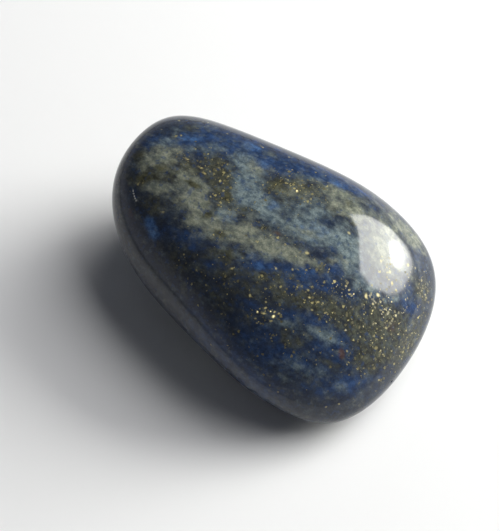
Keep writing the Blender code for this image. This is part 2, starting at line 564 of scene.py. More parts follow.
MATRIX_CLOUDS = {
    "left streak": Cloud((152, 172), 1.9, 0.6, -3, 0.85),
    "left streak, end": Cloud((173, 178), 1.0, 0.5, 10, 0.8),
    "narrow end": Cloud((139, 156), 0.7, 0.5, -25, 0.75),
    "narrow end, low": Cloud((141, 183), 0.7, 0.4, 0, 0.7),
    "grain beside the calcite": Cloud((186, 166), 1.6, 0.7, 12, 0.65),
    "speckled ground, top": Cloud((216, 164), 1.1, 0.9, 0, 0.8),
    "speckled ground, middle": Cloud((214, 178), 1.3, 0.8, 15, 0.85),
    "speckled ground, right": Cloud((227, 179), 0.6, 0.8, 0, 0.85),
    "speckled ground, bottom": Cloud((224, 195), 1.0, 0.9, 0, 0.95),
    "dark corner": Cloud((166, 200), 1.2, 0.7, -8, 0.65),
    "dark corner, left": Cloud((150, 207), 1.2, 0.8, 0, 0.6),
    "under the haze": Cloud((241, 211), 1.2, 0.6, 10, 0.45),
    "beside the deep band": Cloud((229, 257), 1.0, 0.6, 0, 0.95),
    "far gold field, left": Cloud((277, 186), 1.0, 0.6, -10),
    "far gold field": Cloud((299, 187), 1.9, 0.8, 8, 0.8),
    "far gold field, low": Cloud((284, 203), 1.1, 0.6, 0, 0.55),
    "shade in the brown-grey": Cloud((338, 212), 1.2, 0.5, 15, 0.6),
    "dark rim of the brown-grey": Cloud((357, 223), 0.9, 0.25, 0, 0.65),
    "knot by the deep band": Cloud((319, 267), 0.7, 0.45, 0, 0.75),
    "brown strip": Cloud((268, 276), 2.3, 0.5, 5, 0.65),
    "brown strip, left": Cloud((226, 274), 1.3, 0.5, 0, 0.6),
    "gold knot": Cloud((279, 291), 0.7, 0.8, 0, 0.75),
    "below the brown strip": Cloud((251, 289), 1.4, 0.8, 0, 0.55),
    "speckled band": Cloud((302, 302), 1.6, 0.7, 15, 0.85),
    "speckled band, middle": Cloud((322, 304), 1.4, 0.6, 20, 0.8),
    "speckled band, wide": Cloud((345, 315), 1.8, 0.8, 20, 0.85),
    "gold ground": Cloud((372, 325), 1.8, 1.2, 0),
    "gold ground, right": Cloud((393, 320), 1.3, 1.1, 0),
    "gold ground, low": Cloud((387, 345), 1.9, 1.2, -35, 0.95),
    "gold ground, left": Cloud((366, 346), 1.3, 1.1, 0, 0.7),
    "gold ground, bottom": Cloud((371, 362), 1.6, 0.8, -25, 0.85),
    "brown tongue": Cloud((345, 330), 1.0, 0.4, 30, 0.45),
    "above the gold ground": Cloud((366, 304), 1.2, 0.4, 10, 0.6),
    "brown patch, near side": Cloud((291, 340), 1.3, 0.7, 10, 0.7),
    "brown line, near side": Cloud((334, 367), 1.0, 0.35, 30, 0.6),
    "gold corner": Cloud((421, 290), 1.1, 0.7, 80, 0.95),
    "rim of the wide end": Cloud((409, 340), 2.4, 0.8, -60, 0.9),
    "near edge": Cloud((314, 380), 0.7, 0.4, 10, 0.35),
    "brown haze, near side": Cloud((219, 301), 2.0, 1.3, 20, 0.45),
    "brown haze, narrow end": Cloud((178, 268), 2.2, 1.6, 40, 0.45),
    "brown haze, middle": Cloud((202, 253), 1.4, 0.5, 0, 0.5),
    "fleck in the far blue": Cloud((194, 129), 0.7, 0.45, 0, 0.6),
}

PYRITE_CLOUDS = {
    "grain beside the calcite": Cloud((193, 161), 1.2, 0.7, 15, 0.75),
    "speckled ground, top": Cloud((216, 164), 1.1, 0.9, 0, 0.75),
    "speckled ground, right": Cloud((224, 179), 0.9, 0.9, 0, 0.9),
    "speckled ground, bottom": Cloud((224, 196), 0.9, 0.8, 0, 0.75),
    "left streak": Cloud((139, 184), 0.6, 0.4, 0, 0.5),
    "far gold field, left": Cloud((277, 186), 1.0, 0.7, -10),
    "far gold field": Cloud((300, 188), 1.8, 1.0, 8, 0.9),
    "far gold field, low": Cloud((313, 200), 0.7, 0.6, 0, 0.75),
    "under the haze": Cloud((241, 211), 1.2, 0.7, 0, 0.55),
    "gold seam, start": Cloud((266, 229), 0.9, 0.5, 15, 0.85),
    "gold seam, end": Cloud((294, 245), 1.6, 0.35, 37, 0.65),
    "small blotch": Cloud((221, 233), 0.6, 0.4, 0, 0.55),
    "knot by the deep band": Cloud((320, 268), 0.7, 0.5, 0, 0.75),
    "speckled band, top": Cloud((330, 288), 3.4, 0.9, 10, 0.75),
    "speckled band": Cloud((316, 303), 2.0, 0.8, 15, 0.95),
    "speckled band, wide": Cloud((346, 315), 1.5, 0.8, 15, 0.65),
    "big grains": Cloud((372, 300), 1.6, 0.5, 12, 0.9),
    "gold ground": Cloud((384, 324), 2.4, 1.4, -15),
    "gold ground, low": Cloud((374, 352), 2.1, 1.2, -30, 0.65),
    "gold corner": Cloud((422, 290), 1.2, 0.7, 80),
    "rim of the wide end": Cloud((407, 343), 2.4, 0.7, -60, 0.8),
    "bright specks": Cloud((267, 314), 1.3, 0.8, 0, 0.4),
    "gold knot": Cloud((279, 288), 1.2, 0.8, 0, 0.55),
    "brown strip": Cloud((242, 277), 1.9, 0.8, 5, 0.3),
    "in the window": Cloud((392, 275), 1.4, 1.1, 60, 0.8),
    "thin dust, near side": Cloud((230, 300), 5.0, 2.5, 30, 0.14),
    "thin dust, narrow end": Cloud((190, 130), 3.5, 0.9, -5, 0.1),
    "thin dust, wide end": Cloud((320, 360), 3.0, 2.0, 20, 0.15),
}

RUST_CLOUDS = {
    "red speck": Cloud((341.5, 354), 0.45, 0.25, 80),
    "brown tinge, narrow end": Cloud((131, 213), 0.7, 0.3, 70, 0.5),
    "brown tinge, dark corner": Cloud((153, 208), 0.4, 0.25, 0, 0.5),
    "orange of the gold seam": Cloud((277, 233), 0.5, 0.3, 30, 0.55),
    "brown tinge, gold ground": Cloud((392, 327), 1.0, 0.7, 0, 0.4),
}

STAIN_CLOUDS = {
    "line in the calcite": Cloud((192, 184), 0.85, 0.25, 28),
    "blotch in the calcite": Cloud((209, 213), 0.6, 0.5, 0, 0.95),
    "left streak, line": Cloud((147, 178), 1.2, 0.3, 0),
    "left streak, knot": Cloud((161, 168), 0.6, 0.4, 0, 0.9),
    "left streak, top": Cloud((140, 156), 0.5, 0.35, -20, 0.6),
    "small blotch": Cloud((221, 233), 0.6, 0.35, 10, 0.8),
    "small blotch, low": Cloud((226, 254), 0.5, 0.4, 0, 0.6),
    "gold seam, start": Cloud((265, 228), 0.6, 0.35, 15, 0.6),
    "gold seam, knee": Cloud((277, 234), 0.5, 0.3, 30, 0.5),
    "gold seam, end": Cloud((294, 245), 1.0, 0.2, 37, 0.4),
    "speckled ground, knot": Cloud((226, 196), 0.6, 0.5, 0, 0.8),
    "speckled ground, top": Cloud((223, 174), 0.5, 0.7, 0, 0.6),
    "far gold field": Cloud((280, 186), 0.8, 0.5, 0, 0.7),
    "under the haze": Cloud((243, 211), 0.8, 0.35, 10, 0.4),
    "brown-grey patch": Cloud((349, 203), 0.7, 0.35, 20, 0.5),
    "arm, lower": Cloud((181, 203), 0.5, 0.3, 30, 0.4),
}

VIVID_CLOUDS = {
    "spot at the narrow end": Cloud((151, 227), 0.9, 0.4, 68),
    "top of the narrow end": Cloud((189, 137), 1.0, 0.4, 5, 0.5),
    "far edge": Cloud((252, 146), 1.0, 0.3, 20, 0.45),
    "far edge, eye": Cloud((266, 163), 0.6, 0.5, 0, 0.5),
    "in the calcite": Cloud((228, 217), 0.5, 0.35, 0, 0.5),
    "beside the haze": Cloud((273, 205), 0.5, 0.4, 0, 0.5),
    "in the haze": Cloud((246, 187), 0.4, 0.3, 0, 0.5),
    "in the pale patch": Cloud((312, 231), 1.3, 0.5, 10, 0.35),
    "far edge, last band": Cloud((337, 183), 0.8, 0.3, 28, 0.45),
    "deep band": Cloud((262, 267), 1.3, 0.3, 5, 0.4),
    "deep band, broad part": Cloud((306, 272), 1.0, 0.4, 8, 0.45),
    "wide end": Cloud((409, 303), 0.6, 0.4, 70, 0.2),
    "near edge": Cloud((351, 382), 1.2, 0.4, -12, 0.3),
}

CLOUDS = {
    Mineral.LAZURITE: LAZURITE_CLOUDS,
    Mineral.HAZE: HAZE_CLOUDS,
    Mineral.CALCITE: CALCITE_CLOUDS,
    Mineral.MATRIX: MATRIX_CLOUDS,
    Mineral.PYRITE: PYRITE_CLOUDS,
    Mineral.RUST: RUST_CLOUDS,
    Mineral.STAIN: STAIN_CLOUDS,
    Mineral.VIVID: VIVID_CLOUDS,
}

SPECKS = {
    "brightest, far gold field": Mark((297, 191), 0.13, 1.0),
    "far gold field, left": Mark((286, 183), 0.09, 0.6),
    "far gold field, low": Mark((311, 199), 0.1, 0.5),
    "far edge, above the haze": Mark((263, 147.5), 0.09, 0.5),
    "far edge, between the bands": Mark((289, 157), 0.09, 0.5),
    "beside the calcite arm": Mark((188, 159.5), 0.1, 0.7),
    "beside the calcite arm, right": Mark((201.5, 168), 0.1, 0.7),
    "beside the calcite arm, low": Mark((205, 173.5), 0.09, 0.6),
    "dark corner": Mark((163, 212), 0.09, 0.5),
    "narrow end": Mark((138, 184), 0.1, 0.5),
    "lone, under the deep band": Mark((184, 254.5), 0.09, 0.6),
    "lone, near side, far": Mark((196.5, 270), 0.09, 0.5),
    "lone, near side": Mark((206, 285), 0.09, 0.5),
    "lone, left of the strip": Mark((232, 268.5), 0.1, 0.7),
    "in the long strip": Mark((276, 268.5), 0.09, 0.7),
    "in the broad part": Mark((292.5, 269.5), 0.09, 0.6),
    "above the cluster": Mark((250, 295.5), 0.11, 0.8),
    "cluster, left": Mark((257.5, 312), 0.11, 1.0),
    "cluster, beside the left one": Mark((264, 313.5), 0.1, 0.9),
    "cluster, upper": Mark((265.5, 308), 0.1, 0.9),
    "cluster, top": Mark((266, 302), 0.09, 0.7),
    "cluster, middle": Mark((270.5, 311.5), 0.1, 1.0),
    "cluster, right of the middle": Mark((274.5, 312), 0.1, 0.9),
    "cluster, large": Mark((273.5, 316.5), 0.16, 1.0),
    "cluster, low": Mark((271, 321), 0.1, 0.7),
    "cluster, right": Mark((279, 313.5), 0.1, 0.8),
    "cluster, lower left": Mark((255.5, 318.5), 0.08, 0.6),
    "under the cluster": Mark((257, 323), 0.08, 0.5),
    "streak past the cluster": Mark((312, 310), 0.09, 0.6),
    "streak, far": Mark((325, 313), 0.09, 0.6),
    "speckled band, left": Mark((309.5, 297.5), 0.1, 0.8),
    "speckled band, middle": Mark((318, 302), 0.1, 0.7),
    "speckled band, top": Mark((308, 290), 0.09, 0.7),
    "speckled band, right": Mark((346, 286), 0.11, 0.7),
    "speckled band, right end": Mark((349, 290), 0.1, 0.7),
    "big grain, left": Mark((366, 296), 0.17, 0.8),
    "big grain, right": Mark((378, 295), 0.17, 0.8),
    "under the big grains": Mark((373, 304), 0.11, 0.7),
    "gold ground, top": Mark((383, 312), 0.1, 0.6),
    "gold ground, middle": Mark((382, 338), 0.1, 0.6),
    "gold ground, dull grain": Mark((376, 348), 0.16, 0.4),
    "gold ground, left": Mark((347, 351), 0.09, 0.5),
    "gold ground, low": Mark((394, 364), 0.1, 0.6),
    "rim of the wide end": Mark((403, 352), 0.11, 0.6),
    "near edge, right": Mark((379, 380), 0.1, 0.6),
    "near edge, low": Mark((339, 404), 0.1, 0.6),
    "near edge, lowest": Mark((326, 407), 0.09, 0.5),
    "near edge, left": Mark((278, 392), 0.09, 0.5),
    "calcite's end, large": Mark((307, 253), 0.15, 0.7),
    "pale patch's end": Mark((349, 233), 0.13, 0.6),
    "in the window, left": Mark((381, 261), 0.12, 0.6),
    "in the window, middle": Mark((390, 272), 0.14, 0.7),
    "in the window, low": Mark((392, 283), 0.12, 0.7),
    "in the window, lowest": Mark((396, 290), 0.11, 0.7),
    "in the window, right": Mark((408, 265), 0.15, 0.7),
}

WHITE_TICK = {
    "top": Mark((133.2, 191.0), 0.065, 0.8),
    "upper": Mark((133.6, 193.6), 0.065, 1.0),
    "middle": Mark((134.3, 196.2), 0.065, 1.0),
    "lower": Mark((135.2, 198.4), 0.065, 0.9),
    "foot": Mark((136.2, 200.4), 0.065, 0.7),
}

PIT = Mark((391.5, 381.5), 0.14)


class Marking(Enum):
    """A kind of small mark, by the name of the attribute that holds how strongly it shows."""

    SPECK = "speck"
    TICK = "tick"
    # the pit attribute marks where the painted shade inside the dent shows
    PIT = "pit"


MARKINGS = {
    Marking.SPECK: list(SPECKS.values()),
    Marking.TICK: list(WHITE_TICK.values()),
    Marking.PIT: [PIT],
}


@dataclass(frozen=True)
class Blotch:
    """A cloud set on the stone: its middle, its unit axes, its half sizes and its strength."""

    middle: np.ndarray
    axes: np.ndarray
    half_sizes: np.ndarray
    strength: float

    def density(self, points: np.ndarray) -> np.ndarray:
        """Return how much of the cloud's mineral each point holds, half of it at the half sizes."""
        reach = (points - self.middle) @ self.axes.T / self.half_sizes
        return self.strength * np.exp2(-(reach**2).sum(axis=1))


@dataclass(frozen=True)
class MineralPattern:
    """How much of each mineral every point of the skin holds.

    The side that the photograph shows follows the named clouds. The hidden sides carry random
    clouds of the same sizes, stretched the same way along the stone.
    """

    shape: TumbledStone
    view: PhotoView
    cloud_depth: float = 4 * MM
    mark_stretch: float = 0.8
    mark_edge: Span = (0.5, 1.2)
    shown_facing: Span = (0.0, 0.35)
    seed: int = 11
    hidden_length: Span = (1.2 * MM, 3.6 * MM)
    hidden_slimness: Span = (0.3, 0.6)
    hidden_strength: Span = (0.5, 1.0)
    hidden_turn_deg: float = 28.0
    hidden_clouds: tuple[tuple[Mineral, int], ...] = (
        (Mineral.LAZURITE, 90),
        (Mineral.MATRIX, 70),
        (Mineral.HAZE, 40),
        (Mineral.CALCITE, 26),
        (Mineral.PYRITE, 60),
        (Mineral.STAIN, 14),
        (Mineral.VIVID, 12),
    )

    def shown_blotches(self, mineral: Mineral) -> list[Blotch]:
        """Set the named clouds of a mineral on the skin where the photograph shows them.

        Args:
            mineral: The mineral.

        Returns:
            Its clouds on the stone.
        """
        clouds = list(CLOUDS[mineral].values())
        middles = self.shape.touch(self.view, [cloud.pixel for cloud in clouds])
        blotches = []
        for cloud, middle in zip(clouds, middles):
            along = self.view.in_image(cloud.turn_deg)
            axes = np.array([along, self.view.back.cross(along), self.view.back])
            half_length = cloud.half_length_mm * MM
            half_width = cloud.half_width_mm * MM
            half_sizes = np.array([half_length, half_width, self.cloud_depth])
            blotches.append(Blotch(middle, axes, half_sizes, cloud.strength))
        return blotches

    def hidden_blotches(self, mineral: Mineral) -> list[Blotch]:
        """Strew random clouds of a mineral all over the skin, the same ones each time.

        Args:
            mineral: The mineral.

        Returns:
            Its random clouds on the stone.
        """
        dice = random.Random(f"{self.seed} {mineral.value}")
        count = dict(self.hidden_clouds).get(mineral, 0)
        balls = [[dice.gauss(0, half) for half in self.shape.egg_half_sizes] for _ in range(count)]
        blotches = []
        for place in self.shape.skin_points(np.array(balls).reshape(-1, 3)):
            outward = Vector(self.shape.skin_normals(place[None, :])[0])
            turn = math.radians(dice.uniform(-self.hidden_turn_deg, self.hidden_turn_deg))
            level = Vector((math.cos(turn), math.sin(turn), 0))
            along = (level - outward * level.dot(outward)).normalized()
            length = dice.uniform(*self.hidden_length)
            width = length * dice.uniform(*self.hidden_slimness)
            axes = np.array([along, outward.cross(along), outward])
            half_sizes = np.array([length, width, length])
            strength = dice.uniform(*self.hidden_strength)
            blotches.append(Blotch(place, axes, half_sizes, strength))
        return blotches

    @staticmethod
    def mixed(blotches: list[Blotch], points: np.ndarray) -> np.ndarray:
        """Return how much of a mineral several clouds leave together.

        Args:
            blotches: The clouds.
            points: Points of the skin, around the stone's centre.

        Returns:
            One number from 0 to 1 for each point.
        """
        empty = np.ones(len(points))
        for blotch in blotches:
            empty *= 1 - blotch.density(points)
        return 1 - empty

    def density(self, mineral: Mineral, points: np.ndarray) -> np.ndarray:
        """Return how much of a mineral each point of the skin holds.

        Args:
            mineral: The mineral.
            points: Points of the skin, around the stone's centre.

        Returns:
            One number from 0 to 1 for each point.
        """
        facing = self.shape.skin_normals(points) @ np.array(self.view.back)
        shown = soft_step(facing, *self.shown_facing)
        seen = self.mixed(self.shown_blotches(mineral), points)
        unseen = self.mixed(self.hidden_blotches(mineral), points)
        return seen * shown + unseen * (1 - shown)

    def marked(self, marks: list[Mark], points: np.ndarray) -> np.ndarray:
        """Return how strongly small marks show at each point.

        Args:
            marks: The marks.
            points: Points of the skin, around the stone's centre.

        Returns:
            One number from 0 to 1 for each point.
        """
        dice = random.Random(self.seed)
        strengths = np.zeros(len(points))
        for mark, spot in zip(marks, self.shape.touch(self.view, [mark.pixel for mark in marks])):
            lean = np.array(self.view.in_image(dice.uniform(0, HALF_TURN_DEG)))
            longer = dice.uniform(0, self.mark_stretch)
            offsets = points - spot
            offsets -= np.outer(offsets @ lean, lean) * longer / (1 + longer)
            distances = np.linalg.norm(offsets, axis=1) / (mark.radius_mm * MM)
            inside = 1 - soft_step(distances, *self.mark_edge)
            strengths = np.maximum(strengths, inside * mark.strength)
        return strengths

    def paint(self, stone: bpy.types.Object) -> None:
        """Store what every point holds as attributes of the stone's mesh.

        Args:
            stone: The finished stone.
        """
        centre = np.array(self.shape.centre)
        points = np.array([vertex.co[:] for vertex in stone.data.vertices]) - centre
        layers = {mineral.value: self.density(mineral, points) for mineral in Mineral}
        layers |= {kind.value: self.marked(marks, points) for kind, marks in MARKINGS.items()}
        for name, values in layers.items():
            attribute = stone.data.attributes.new(name, "FLOAT", "POINT")
            attribute.data.foreach_set("value", values.astype(np.float32))


@dataclass(frozen=True)
class Noise:
    """A noise: its waves per millimetre, how many finer octaves it has and how strong they are."""

    per_mm: float
    octaves: float
    roughness: float


class NodeBoard:
    """A node tree with short ways to add the nodes that the finishes use."""

    def __init__(self, tree: bpy.types.NodeTree) -> None:
        """Keep the tree that nodes are added to."""
        self.tree = tree

    def feed(self, node: bpy.types.Node, inputs: dict[str | int, Source]) -> None:
        """Link sources to a node's inputs, or set the inputs' constants.

        Args:
            node: The node.
            inputs: A source socket or a constant for each input name or number.
        """
        for key, value in inputs.items():
            if isinstance(value, bpy.types.NodeSocket):
                self.tree.links.new(value, node.inputs[key])
            else:
                node.inputs[key].default_value = value

    def add(self, kind: str, inputs: dict[str | int, Source], **settings: object) -> bpy.types.Node:
        """Add a node.

        Args:
            kind: The node's type name.
            inputs: A source socket or a constant for each input name or number.
            settings: The node's own properties.

        Returns:
            The node.
        """
        node = self.tree.nodes.new(kind)
        for name, value in settings.items():
            setattr(node, name, value)
        self.feed(node, inputs)
        return node

    def maths(self, operation: str, first: Source, second: Source = 0.0) -> bpy.types.NodeSocket:
        """Return the result of a sum on two numbers."""
        node = self.add("ShaderNodeMath", {0: first, 1: second}, operation=operation)
        return node.outputs["Value"]

    def vectors(
        self, operation: str, first: Source, second: Source = (0.0, 0.0, 0.0)
    ) -> bpy.types.NodeSocket:
        """Return the result of a sum on two vectors."""
        node = self.add("ShaderNodeVectorMath", {0: first, 1: second}, operation=operation)
        return node.outputs["Vector"]

    def scaled(self, vector: Source, factor: Source) -> bpy.types.NodeSocket:
        """Return a vector or a colour times a factor."""
        node = self.add("ShaderNodeVectorMath", {0: vector, "Scale": factor}, operation="SCALE")
        return node.outputs["Vector"]

    def blend(self, factor: Source, first: Source, second: Source) -> bpy.types.NodeSocket:
        """Return the first colour where the factor is 0 and the second where it is 1."""
        inputs = {0: factor, 6: first, 7: second}
        return self.add("ShaderNodeMix", inputs, data_type="RGBA").outputs[2]

    def rise(
        self, value: Source, start: Source, end: Source, low: Source = 0.0, high: Source = 1.0
    ) -> bpy.types.NodeSocket:
        """Return low before start, high past end and a smooth change between them."""
        inputs = {"Value": value, "From Min": start, "From Max": end, "To Min": low, "To Max": high}
        return self.add("ShaderNodeMapRange", inputs, interpolation_type="SMOOTHSTEP").outputs["Result"]

    def noise(self, place: Source, noise: Noise) -> bpy.types.Node:
        """Return a noise node, fed with coordinates in millimetres."""
        inputs = {"Vector": place, "Scale": noise.per_mm, "Detail": noise.octaves}
        return self.add("ShaderNodeTexNoise", inputs | {"Roughness": noise.roughness})

    def group(self, name: str, inputs: dict[str | int, Source]) -> bpy.types.Node:
        """Return a node that uses the group of that name, with its inputs fed."""
        return self.add("ShaderNodeGroup", inputs, node_tree=bpy.data.node_groups[name])

    def amount(self, layer: Mineral | Marking) -> bpy.types.NodeSocket:
        """Return how much of a mineral or a kind of mark the mesh holds here."""
        return self.add("ShaderNodeAttribute", {}, attribute_name=layer.value).outputs["Fac"]

    def object_place(self) -> bpy.types.NodeSocket:
        """Return the place on the object, in metres."""
        return self.add("ShaderNodeTexCoord", {}).outputs["Object"]

    def surface_normal(self) -> bpy.types.NodeSocket:
        """Return the smooth skin's own normal."""
        return self.add("ShaderNodeNewGeometry", {}).outputs["Normal"]


def new_material(name: str) -> tuple[bpy.types.Material, NodeBoard, bpy.types.Node]:
    """Start a material.

    Args:
        name: The material's name.

    Returns:
        The material, the board to add nodes to and its Principled shader.
    """
    material = bpy.data.materials.new(name)
    material.use_nodes = True
    return material, NodeBoard(material.node_tree), material.node_tree.nodes["Principled BSDF"]


def new_group(
    name: str, inputs: dict[str, str], outputs: dict[str, str]
) -> tuple[NodeBoard, bpy.types.Node, bpy.types.Node]:
    """Start a shader node group.

    Args:
        name: The group's name.
        inputs: The socket type of each named input.
        outputs: The socket type of each named output.

    Returns:
        The board to add nodes to, the group's input node and its output node.
    """
    tree = bpy.data.node_groups.new(name, "ShaderNodeTree")
    for in_out, sockets in (("INPUT", inputs), ("OUTPUT", outputs)):
        for socket_name, socket_type in sockets.items():
            tree.interface.new_socket(socket_name, in_out=in_out, socket_type=socket_type)
    board = NodeBoard(tree)
    return board, board.add("NodeGroupInput", {}), board.add("NodeGroupOutput", {})


BLACK: Tint = (0, 0, 0, 1)
FLOAT = "NodeSocketFloat"
VECTOR = "NodeSocketVector"
NOISE_MEAN = 0.5
CLOUD_EDGE = 0.5
MASK_GROUP = "mineral_mask"
GRAIN_GROUP = "pyrite_grains"


def add_mask_group() -> None:
    """Build the group that gives a soft cloud of a mineral its frayed edge."""
    board, given, result = new_group(
        MASK_GROUP,
        {"Amount": FLOAT, "Noise": FLOAT, "Fray": FLOAT, "Softness": FLOAT},
        {"Mask": FLOAT},
    )
    sway = board.maths("SUBTRACT", given.outputs["Noise"], NOISE_MEAN)
    sway = board.maths("MULTIPLY", sway, given.outputs["Fray"])
    total = board.maths("ADD", given.outputs["Amount"], sway)
    start = board.maths("SUBTRACT", CLOUD_EDGE, given.outputs["Softness"])
    end = board.maths("ADD", CLOUD_EDGE, given.outputs["Softness"])
    board.feed(result, {"Mask": board.rise(total, start, end)})


@dataclass(frozen=True)
class GrainStyle:
    """What pyrite grains of every size share: ragged outlines, soft edges and tilted facets."""

    ragged: Noise = Noise(8.0, 1.0, 0.5)
    ragged_mm: float = 0.24
    size_factors: Span = (0.6, 1.3)
    core: float = 0.6

    def add_group(self) -> None:
        """Build the group that strews grains of one size, each a facet with its own tilt."""
        board, given, result = new_group(
            GRAIN_GROUP,
            {
                "Place": VECTOR,
                "Amount": FLOAT,
                "Cells Per mm": FLOAT,
                "Radius": FLOAT,
                "Share": FLOAT,
                "Tilt": FLOAT,
            },
            {"Mask": FLOAT, "Brightness": FLOAT, "Normal": VECTOR},
        )
        mean = (NOISE_MEAN, NOISE_MEAN, NOISE_MEAN)
        wander = board.noise(given.outputs["Place"], self.ragged).outputs["Color"]
        wander = board.scaled(board.vectors("SUBTRACT", wander, mean), self.ragged_mm)
        place = board.vectors("ADD", given.outputs["Place"], wander)
        inputs = {"Vector": place, "Scale": given.outputs["Cells Per mm"]}
        cells = board.add("ShaderNodeTexVoronoi", inputs, voronoi_dimensions="3D", feature="F1")
        dice = board.add("ShaderNodeSeparateColor", {"Color": cells.outputs["Color"]})
        chance = board.maths("MULTIPLY", given.outputs["Amount"], given.outputs["Share"])
        present = board.maths("LESS_THAN", dice.outputs["Red"], chance)
        factor = board.rise(dice.outputs["Green"], 0.0, 1.0, *self.size_factors)
        radius = board.maths("MULTIPLY", factor, given.outputs["Radius"])
        core = board.maths("MULTIPLY", radius, self.core)
        disc = board.rise(cells.outputs["Distance"], core, radius, 1.0, 0.0)
        lean = board.vectors("SUBTRACT", cells.outputs["Color"], mean)
        lean = board.scaled(lean, given.outputs["Tilt"])
        facet = board.vectors("NORMALIZE", board.vectors("ADD", board.surface_normal(), lean))
        outputs = {
            "Mask": board.maths("MULTIPLY", disc, present),
            "Brightness": dice.outputs["Blue"],
            "Normal": facet,
        }
        board.feed(result, outputs)


@dataclass(frozen=True)
class GrainSize:
    """Pyrite grains of one size, in cells: their number per mm, radius, share, tilt, dullness."""

    cells_per_mm: float
    radius: float
    share: float
    tilt: float
    dullness: float


@dataclass(frozen=True)
class Layer:
    """One mineral's colours, and how its clouds fray, soften and cover what is under them.

    The shift moves the noise, so that each mineral frays in its own way.
    """

    mineral: Mineral
    dark: Tint
    bright: Tint
    fray: float
    softness: float
    cover: float
    shift_mm: float


@dataclass(frozen=True)
class Surface:
    """What the shader is fed with, as grains and marks are laid on it one after another."""

    colour: Source
    metal: Source
    normal: Source


@dataclass(frozen=True)
class LapisFinish:
    """Polished lapis lazuli: deep blue lazurite, grey-green ground, pale calcite, gold pyrite."""

    glint_heading: Vector
    ground_dark: Tint = (0.014, 0.02, 0.036, 1)
    ground_bright: Tint = (0.028, 0.037, 0.054, 1)
    mottle: Noise = Noise(1.1, 5.0, 0.6)
    mottle_span: Span = (0.35, 0.65)
    layers: tuple[Layer, ...] = (
        Layer(Mineral.LAZURITE, (0.01, 0.023, 0.062, 1), (0.022, 0.05, 0.13, 1), 1.9, 0.45, 0.93, 3.1),
        Layer(Mineral.MATRIX, (0.026, 0.026, 0.02, 1), (0.072, 0.074, 0.047, 1), 1.9, 0.45, 0.85, 7.7),
        Layer(Mineral.HAZE, (0.075, 0.105, 0.125, 1), (0.2, 0.25, 0.25, 1), 1.8, 0.5, 0.87, 12.3),
        Layer(Mineral.CALCITE, (0.115, 0.13, 0.105, 1), (0.25, 0.262, 0.195, 1), 1.8, 0.5, 0.9, 17.9),
        Layer(Mineral.STAIN, (0.022, 0.023, 0.014, 1), (0.07, 0.068, 0.036, 1), 1.6, 0.4, 0.9, 29.9),
        Layer(Mineral.VIVID, (0.025, 0.065, 0.18, 1), (0.08, 0.18, 0.38, 1), 1.2, 0.45, 0.9, 33.1),
        Layer(Mineral.RUST, (0.06, 0.03, 0.02, 1), (0.1, 0.045, 0.028, 1), 0.8, 0.3, 0.6, 23.5),
    )
    fray: Noise = Noise(1.3, 4.0, 0.58)
    shade: Noise = Noise(2.4, 3.0, 0.55)
    shade_span: Span = (0.32, 0.68)
    stretch: tuple[float, float, float] = (0.75, 1.0, 1.0)
    drift_deg: float = -14.0
    freckle: Noise = Noise(2.1, 2.0, 0.5)
    freckle_span: Span = (0.58, 0.7)
    freckle_color: Tint = (0.02, 0.045, 0.115, 1)
    freckle_cover: float = 0.5
    fine: Noise = Noise(7.0, 3.0, 0.65)
    fine_span: Span = (0.3, 0.7)
    fine_shades: Span = (0.8, 1.2)
    grain_style: GrainStyle = GrainStyle()
    grains: tuple[GrainSize, ...] = (
        GrainSize(3.4, 0.45, 0.5, 0.2, 5.0),
        GrainSize(5.0, 0.31, 0.5, 0.5, 2.0),
        GrainSize(2.6, 0.22, 0.4, 0.6, 1.5),
    )
    pyrite_dull: Tint = (0.095, 0.085, 0.042, 1)
    pyrite_bright: Tint = (0.4, 0.35, 0.15, 1)
    speck_color: Tint = (0.5, 0.43, 0.19, 1)
    tick_color: Tint = (0.75, 0.75, 0.72, 1)
    # painted shade: near black, for the shade inside the pit's dent
    pit_shade_color: Tint = (0.004, 0.004, 0.004, 1)
    glint_power: float = 6.0
    polish: Span = (0.072, 0.117)
    grain_span: Span = (0.2, 0.8)
    grain_roughness: float = 0.36
    grain_metal: float = 0.2

    def ground(self, board: NodeBoard, place: Source) -> bpy.types.NodeSocket:
        """Return the colour of the dark ground that every mineral lies on."""
        mottle = board.noise(place, self.mottle).outputs["Fac"]
        return board.blend(board.rise(mottle, *self.mottle_span), self.ground_dark, self.ground_bright)

    def laid(self, board: NodeBoard, under: Source, layer: Layer, place: Source) -> bpy.types.NodeSocket:
        """Lay one mineral's clouds over the colour so far.

        Args:
            board: The material's nodes.
            under: The colour so far.
            layer: The mineral's look.
            place: Coordinates in millimetres.

        Returns:
            The new colour.
        """
        shift = layer.shift_mm
        fray_place = board.vectors("ADD", place, (shift, -shift, 2 * shift))
        inputs = {
            "Amount": board.amount(layer.mineral),
            "Noise": board.noise(fray_place, self.fray).outputs["Fac"],
            "Fray": layer.fray,
            "Softness": layer.softness,
        }
        mask = board.group(MASK_GROUP, inputs).outputs["Mask"]
        cover = board.maths("MULTIPLY", mask, layer.cover)
        shade_place = board.vectors("ADD", place, (3 * shift, shift, -shift))
        shade = board.noise(shade_place, self.shade).outputs["Fac"]
        colour = board.blend(board.rise(shade, *self.shade_span), layer.dark, layer.bright)
        return board.blend(cover, under, colour)

    def freckled(self, board: NodeBoard, under: Source, place: Source) -> bpy.types.NodeSocket:
        """Scatter small blue freckles over the colour so far.

        Args:
            board: The material's nodes.
            under: The colour so far.
            place: Coordinates in millimetres.

        Returns:
            The new colour.
        """
        freckles = board.noise(place, self.freckle).outputs["Fac"]
        cover = board.maths("MULTIPLY", board.rise(freckles, *self.freckle_span), self.freckle_cover)
        return board.blend(cover, under, self.freckle_color)

    @staticmethod
    def turned(board: NodeBoard, normal: Source, other: Source, part: Source) -> bpy.types.NodeSocket:
        """Return a normal turned part of the way towards another."""
        kept = board.scaled(normal, board.maths("SUBTRACT", 1.0, part))
        return board.vectors("NORMALIZE", board.vectors("ADD", kept, board.scaled(other, part)))

